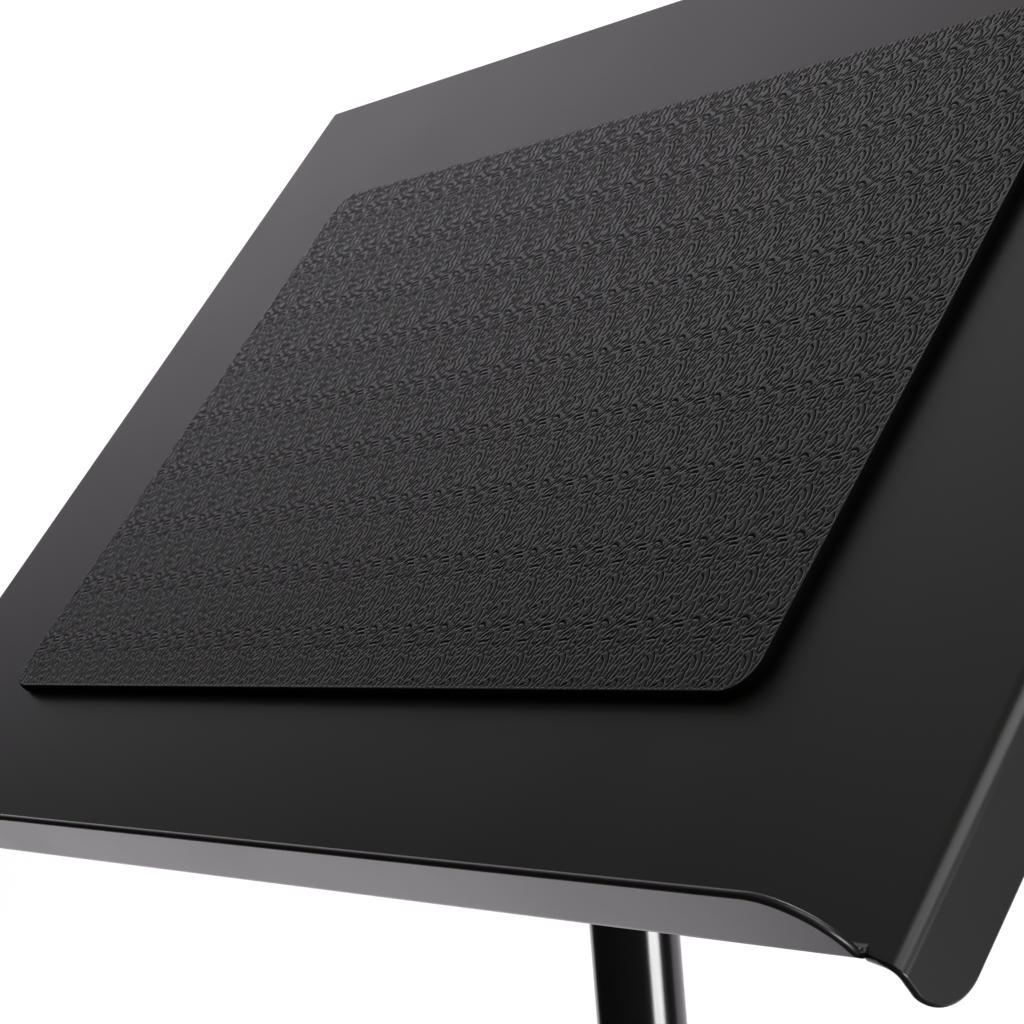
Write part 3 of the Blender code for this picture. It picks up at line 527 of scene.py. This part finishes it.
def mat_rows(half_h, radius, step):
    """Row heights from bottom to top, closer together where the rounded corners need it."""
    straight = half_h - radius
    turns = np.linspace(0.0, math.pi / 2, int(radius * math.pi / 2 / step) + 1)
    corner = straight + radius * np.sin(turns)
    middle = np.linspace(-straight, straight, int(2 * straight / step) + 1)
    return np.concatenate([-corner[::-1], middle[1:-1], corner])


def rubber_mat():
    """The mat: its grained face as a fine grid, and its rounded plain rim."""
    low, high = local_box("rubber_mat", DESK)
    centre = (low + high) / 2
    half_w = (high.x - low.x) / 2 - MAT_EDGE
    half_h = (high.y - low.y) / 2 - MAT_EDGE
    radius = MAT_RADIUS - MAT_EDGE
    rows = mat_rows(half_h, radius, GRAIN_STEP)
    over = np.clip(np.abs(rows) - (half_h - radius), 0.0, radius)
    reach = half_w - radius + np.sqrt(np.maximum(radius ** 2 - over ** 2, 0.0))
    columns = np.linspace(-1.0, 1.0, int(2 * half_w / GRAIN_STEP) + 1)
    x = reach[:, None] * columns[None, :]
    y = np.repeat(rows[:, None], len(columns), axis=1)
    crest = grain_height(x + half_w, y + half_h)
    edge = np.minimum(reach[:, None] - np.abs(x), half_h - np.abs(y))
    fade = np.clip(edge / PLAIN_BORDER, 0.0, 1.0)
    crest = 1.0 - (1.0 - crest) * fade * fade * (3.0 - 2.0 * fade)
    z = high.z - GRAIN_DEPTH * (1.0 - crest)
    face = np.stack([x, y, z], axis=-1).reshape(-1, 3)
    count_y, count_x = x.shape
    index = np.arange(count_y * count_x).reshape(count_y, count_x)
    corners = [index[:-1, :-1], index[:-1, 1:], index[1:, 1:], index[1:, :-1]]
    quads = np.stack(corners, axis=-1).reshape(-1, 4)

    # the rim runs round the face's border, then down the side
    border = np.concatenate([index[0, :-1], index[:-1, -1], index[-1, :0:-1], index[:0:-1, 0]])
    start = face[border]
    centre_x = np.sign(start[:, 0]) * np.minimum(np.abs(start[:, 0]), half_w - radius)
    centre_y = np.sign(start[:, 1]) * np.minimum(np.abs(start[:, 1]), half_h - radius)
    outward = np.stack([start[:, 0] - centre_x, start[:, 1] - centre_y], axis=-1)
    outward /= np.linalg.norm(outward, axis=1)[:, None]
    rings = []
    for turn in (22.5, 45.0, 67.5, 90.0):
        angle = math.radians(turn)
        rings.append((MAT_EDGE * math.sin(angle), high.z - MAT_EDGE * (1.0 - math.cos(angle))))
    rings += [(MAT_EDGE, low.z + MAT_FOOT), (MAT_EDGE - MAT_FOOT, low.z)]
    points = [face]
    levels = [crest.reshape(-1)]
    loops = [border]
    total = len(face)
    for reach_out, height in rings:
        ring = np.column_stack([start[:, :2] + outward * reach_out, np.full(len(start), height)])
        points.append(ring)
        # the rim gets crest 0: duller, and darker with weaker reflection as painted shade
        levels.append(np.zeros(len(ring)))
        loops.append(np.arange(total, total + len(ring)))
        total += len(ring)
    for upper, lower in zip(loops, loops[1:]):
        sides = np.stack([lower, np.roll(lower, -1), np.roll(upper, -1), upper], axis=-1)
        quads = np.concatenate([quads, sides])
    points = np.concatenate(points) + np.array([centre.x, centre.y, 0.0])
    mesh = bpy.data.meshes.new("mat")
    faces = quads.tolist() + [loops[-1][::-1].tolist()]
    mesh.from_pydata(points.tolist(), [], faces)
    mesh.attributes.new("crest", "FLOAT", "POINT").data.foreach_set("value", np.concatenate(levels))
    add_piece("mat", mesh, "rubber_mat", DESK)


# The knobs: five-lobed, with a moulded ring on top

LOBES = 5
LOBE_DEPTH = 0.10                  # as a share of the knob's radius
KNOB_EDGE = 0.0025                 # rounding of its rims
KNOB_CROWN = 0.001                 # how far its top is domed
KNOB_FILLET = 0.0015               # between its neck and its lobes
NECK_EDGE = 0.0005
NECK_SHARE = 0.55                  # the neck's radius, as a share of the knob's
SKIRT_SHARE = 0.42                 # where the lobes start, as a share of its height
KNOB_SEGMENTS = 120
KNOB_SHARP_ANGLE = math.radians(50)
KNOB_RING = (                      # the moulded ring: shares of the knob's radius, heights above its rim
    (0.60, 0.0003),
    (0.57, 0.0002),
    (0.56, -0.0004),
    (0.53, -0.0004),
    (0.52, 0.0003),
    (0.49, 0.0005),
)
KNOBS = {                          # each knob and the joint that turns it
    "tilt_knob": "tilt_knob_turn",
    "height_knob": "height_knob_turn",
    "collar_knob": "collar_knob_turn",
}


def knob(node, joint):
    """A smooth star knob in the place of the CAD knob, along its own axis."""
    axis = Vector(JOINTS[joint]["axis"])
    turn = Matrix.Rotation(math.atan2(axis.y, axis.x), 4, "Z") @ Matrix.Rotation(math.pi / 2, 4, "Y")
    place = Matrix.Translation(JOINTS[joint]["pos_m"]) @ turn
    points = np.array([place.inverted() @ vert.co for vert in NODES[node].data.vertices])
    reach = np.hypot(points[:, 0], points[:, 1])
    low = points[:, 2].min()
    high = points[:, 2].max() - KNOB_CROWN
    radius = reach.max() / (1.0 + LOBE_DEPTH)
    # the bore is the innermost ring of the knob's foot, as far up as it runs
    bore = reach[points[:, 2] < low + 1e-5].min()
    bore_top = points[np.abs(reach - bore) < 1e-4, 2].max()
    neck = radius * NECK_SHARE
    lobe_start = neck + KNOB_FILLET
    lobe_full = radius - KNOB_EDGE
    skirt = low + (high - low) * SKIRT_SHARE
    profile = [(0.0, bore_top), (bore, bore_top), (bore, low)]
    profile += arc(neck - NECK_EDGE, low + NECK_EDGE, NECK_EDGE, -90, 0, 4)
    profile += arc(lobe_start, skirt - KNOB_EDGE - KNOB_FILLET, KNOB_FILLET, 180, 90, 5)
    profile += arc(lobe_full, skirt + KNOB_EDGE, KNOB_EDGE, -80, 0, 8)
    profile += arc(lobe_full, high - KNOB_EDGE, KNOB_EDGE, 0, 85, 8)
    profile += [(radius * out, high + rise) for out, rise in KNOB_RING]
    profile += [(0.0, high + KNOB_CROWN)]
    bm = bmesh.new()
    columns = []
    for i in range(KNOB_SEGMENTS):
        angle = 2.0 * math.pi * i / KNOB_SEGMENTS
        column = []
        for out, z in profile:
            if out == 0.0 and columns:
                column.append(columns[0][len(column)])
                continue
            share = min(max((out - lobe_start) / (lobe_full - lobe_start), 0.0), 1.0)
            out *= 1.0 + LOBE_DEPTH * math.cos(LOBES * angle) * share * share * (3.0 - 2.0 * share)
            column.append(bm.verts.new((out * math.cos(angle), out * math.sin(angle), z)))
        columns.append(column)
    for left, right in zip(columns, columns[1:] + columns[:1]):
        for k in range(len(profile) - 1):
            corners = [left[k], right[k], right[k + 1], left[k + 1]]
            bm.faces.new(list(dict.fromkeys(corners)))
    bmesh.ops.recalc_face_normals(bm, faces=bm.faces)
    piece = add_piece(node + "_finish", bm, node, place)
    piece.data.set_sharp_from_angle(angle=KNOB_SHARP_ANGLE)


# The other pieces: the CAD shapes with smooth rounds and softened edges

ROUNDING = {                       # by how a node's name starts; at 0 the edges stay sharp
    "clamp_housing": 0.0010,
    "leg_hub": 0.0012,
    "brace_collar": 0.0010,
    "collar_stop_ring": 0.0006,
    "tilt_head": 0.0010,
    "tube_end_plug": 0.0008,
    "leg_knuckle": 0.0008,
    "leg_foot": 0.0012,
    "tilt_bracket": 0.0005,
    "upper_tube": 0.0,
    "lower_tube": 0.0,
    "leg_tube": 0.0004,
}
SMALL_ROUNDING = 0.0003
FLAT_ANGLE = math.radians(0.5)     # faces closer than this count as one


def softened(node):
    """A copy of a CAD node with its flat faces whole again and its sharp edges rounded."""
    widths = [size for name, size in ROUNDING.items() if node.startswith(name)]
    width = widths[0] if widths else SMALL_ROUNDING
    bm = bmesh.new()
    bm.from_mesh(NODES[node].data)
    bmesh.ops.remove_doubles(bm, verts=bm.verts, dist=TOUCH)
    bmesh.ops.dissolve_limit(bm, angle_limit=FLAT_ANGLE, verts=bm.verts, edges=bm.edges)
    piece = add_piece(node + "_finish", bm, node)
    if width:
        round_edges(piece, width)
    else:
        piece.data.set_sharp_from_angle(angle=SHARP_ANGLE)


desk_sheet()
rubber_mat()
for node, joint in KNOBS.items():
    knob(node, joint)
for node in NODES:
    if node not in KNOBS and node not in ("desk_panel", "rubber_mat"):
        softened(node)


# Studio: a pale floor, a room that is bright behind the stand and dark before it, and soft lights

FLOOR_WHITE = 0.88
ROOM_DARK = (0.020, 0.019, 0.018)  # radiance of the room in front of the desk
ROOM_TOP = (0.30, 0.29, 0.28)      # and straight above
BACKDROP = (1.20, 1.14, 1.22)      # radiance of the backdrop behind it
BACKDROP_START = 61.5              # the backdrop's two edges, as azimuths in degrees
BACKDROP_END = 180.5
EDGE_WIDTH = 12.0                  # how softly each edge fades
TOP_FADE = (0.55, 0.95)            # heights on the sky's unit sphere between which the top fades in
FOOT_FADE = (-0.62, -0.76)         # and between which the room goes dark towards the floor
LOW_FADE = (-0.15, -0.45)          # and between which it gets brighter below eye level
LOW_BACKDROP = 1.20
SEEN_STRENGTH = 1.1                # the plain white that the camera sees

# Each soft light: azimuth, elevation, distance, size and power
SOFT_LIGHTS = {
    "strip_light": (7.2, -13.0, 2.6, (1.25, 0.45), 42.0),
    "key_light_high": (-16.0, 46.0, 2.5, (1.1, 1.1), 12.0),
    "key_light_low": (5.0, 29.0, 2.5, (1.1, 1.1), 15.0),
    "fill_light": (-130.0, 50.0, 4.0, (3.0, 2.0), 2.5),
}
TOP_DIRECTION = (-0.15, 0.85, 0.62)


def add_floor():
    """The floor, which lights the stand from below but isn't mirrored in it."""
    bpy.ops.mesh.primitive_plane_add(size=60.0, location=(0.0, 0.0, 0.0))
    floor = bpy.context.object
    floor.name = "floor"
    paint = Tree("studio_floor").surface(Base_Color=grey(FLOOR_WHITE), Roughness=0.7)
    floor.data.materials.append(paint)
    floor.visible_glossy = False


def aimed(name, data, direction):
    """A light that shines from a direction, and isn't seen itself."""
    light = bpy.data.objects.new(name, data)
    light.rotation_mode = "QUATERNION"
    light.rotation_quaternion = Vector(direction).to_track_quat("Z", "Y")
    light.visible_camera = False
    bpy.context.scene.collection.objects.link(light)
    return light


def direction_of(azimuth, elevation):
    """The unit vector towards an azimuth and an elevation in degrees."""
    turn = math.radians(azimuth)
    rise = math.radians(elevation)
    return Vector((math.cos(turn) * math.cos(rise), math.sin(turn) * math.cos(rise), math.sin(rise)))


def add_soft_light(name, aim, direction, distance, size, power):
    """A rectangular soft light that looks at a point from a direction."""
    data = bpy.data.lights.new(name, "AREA")
    data.shape = "RECTANGLE"
    data.size, data.size_y = size
    data.energy = power
    light = aimed(name, data, direction)
    light.location = aim + direction * distance


def add_top_light(direction, strength, spread):
    """A very wide distant light from above and behind, which whitens the floor."""
    data = bpy.data.lights.new("top_light", "SUN")
    data.energy = strength
    data.angle = math.radians(spread)
    aimed("top_light", data, direction)


def faded(nodes, links, value, fade, low=0.0, high=1.0):
    """A smooth step from low to high as the value goes from fade's first number to its second."""
    node = nodes.new("ShaderNodeMapRange")
    node.interpolation_type = "SMOOTHSTEP"
    node.inputs["From Min"].default_value, node.inputs["From Max"].default_value = fade
    node.inputs["To Min"].default_value = low
    node.inputs["To Max"].default_value = high
    links.new(value, node.inputs["Value"])
    return node.outputs[0]


def blend(nodes, links, share, first, second):
    """Mixes two colours, each a socket or a fixed colour."""
    node = nodes.new("ShaderNodeMix")
    node.data_type = "RGBA"
    node.clamp_factor = True
    links.new(share, node.inputs[0])
    for socket, value in ((node.inputs[6], first), (node.inputs[7], second)):
        if isinstance(value, bpy.types.NodeSocket):
            links.new(value, socket)
        else:
            socket.default_value = (*value, 1.0)
    return node.outputs[2]


def backdrop_share(nodes, links, place):
    """How much of the backdrop there is in each compass direction, from 0 to 1."""
    turned = nodes.new("ShaderNodeMapping")
    turned.inputs["Rotation"].default_value.z = -math.radians((BACKDROP_START + BACKDROP_END) / 2.0)
    links.new(place, turned.inputs["Vector"])
    compass = nodes.new("ShaderNodeTexGradient")
    compass.gradient_type = "RADIAL"
    links.new(turned.outputs[0], compass.inputs["Vector"])
    half = (BACKDROP_END - BACKDROP_START) / 2.0
    soft = EDGE_WIDTH / 2.0
    share = nodes.new("ShaderNodeValToRGB")
    share.color_ramp.interpolation = "EASE"
    stops = [(-half - soft, 0.0), (-half + soft, 1.0), (half - soft, 1.0), (half + soft, 0.0)]
    elements = share.color_ramp.elements
    while len(elements) < len(stops):
        elements.new(0.5)
    for element, (angle, level) in zip(elements, stops):
        element.position = 0.5 + angle / 360.0
        element.color = (level, level, level, 1.0)
    links.new(compass.outputs["Fac"], share.inputs["Fac"])
    return share.outputs["Color"]


def add_world():
    """The room by direction, for light and reflections, and plain white where it is seen directly."""
    world = bpy.data.worlds.new("studio")
    world.use_nodes = True
    nodes = world.node_tree.nodes
    links = world.node_tree.links
    place = nodes.new("ShaderNodeTexCoord").outputs["Generated"]
    split = nodes.new("ShaderNodeSeparateXYZ")
    links.new(place, split.inputs[0])
    height = split.outputs["Z"]
    sides = blend(nodes, links, backdrop_share(nodes, links, place), ROOM_DARK, BACKDROP)
    lower = blend(nodes, links, faded(nodes, links, height, FOOT_FADE), sides, ROOM_DARK)
    colour = blend(nodes, links, faded(nodes, links, height, TOP_FADE), lower, ROOM_TOP)
    room = nodes["Background"]
    links.new(colour, room.inputs["Color"])
    links.new(faded(nodes, links, height, LOW_FADE, 1.0, LOW_BACKDROP), room.inputs["Strength"])
    seen = nodes.new("ShaderNodeBackground")
    seen.inputs["Color"].default_value = (1.0, 1.0, 1.0, 1.0)
    seen.inputs["Strength"].default_value = SEEN_STRENGTH
    which = nodes.new("ShaderNodeMixShader")
    links.new(nodes.new("ShaderNodeLightPath").outputs["Is Camera Ray"], which.inputs["Fac"])
    links.new(room.outputs[0], which.inputs[1])
    links.new(seen.outputs[0], which.inputs[2])
    links.new(which.outputs[0], nodes["World Output"].inputs["Surface"])
    bpy.context.scene.world = world


# Camera: close in, looking level at the desk from its lower right

CAMERA_PLACE = Vector((0.5662, -0.3227, 0.3400))      # in the desk's frame
CAMERA_AHEAD = Vector((-0.79306, 0.40967, -0.45081))
CAMERA_RIGHT = Vector((0.60688, 0.46764, -0.64265))
LENS = 86.0                        # millimetres, on a 36 mm wide sensor


def add_camera():
    data = bpy.data.cameras.new("camera")
    data.sensor_width = 36.0
    data.lens = LENS
    data.clip_start = 0.01
    data.clip_end = 100.0
    camera = bpy.data.objects.new("camera", data)
    up = CAMERA_RIGHT.cross(CAMERA_AHEAD)
    turn = Matrix((CAMERA_RIGHT, up, -CAMERA_AHEAD)).transposed().to_4x4()
    camera.matrix_world = DESK @ Matrix.Translation(CAMERA_PLACE) @ turn
    bpy.context.scene.collection.objects.link(camera)
    bpy.context.scene.camera = camera


desk_middle = Vector(TILT["pos_m"])
add_floor()
add_world()
for name, (azimuth, elevation, distance, size, power) in SOFT_LIGHTS.items():
    add_soft_light(name, desk_middle, direction_of(azimuth, elevation), distance, size, power)
add_top_light(TOP_DIRECTION, strength=4.0, spread=40.0)
add_camera()
bpy.context.scene.view_settings.view_transform = "Standard"
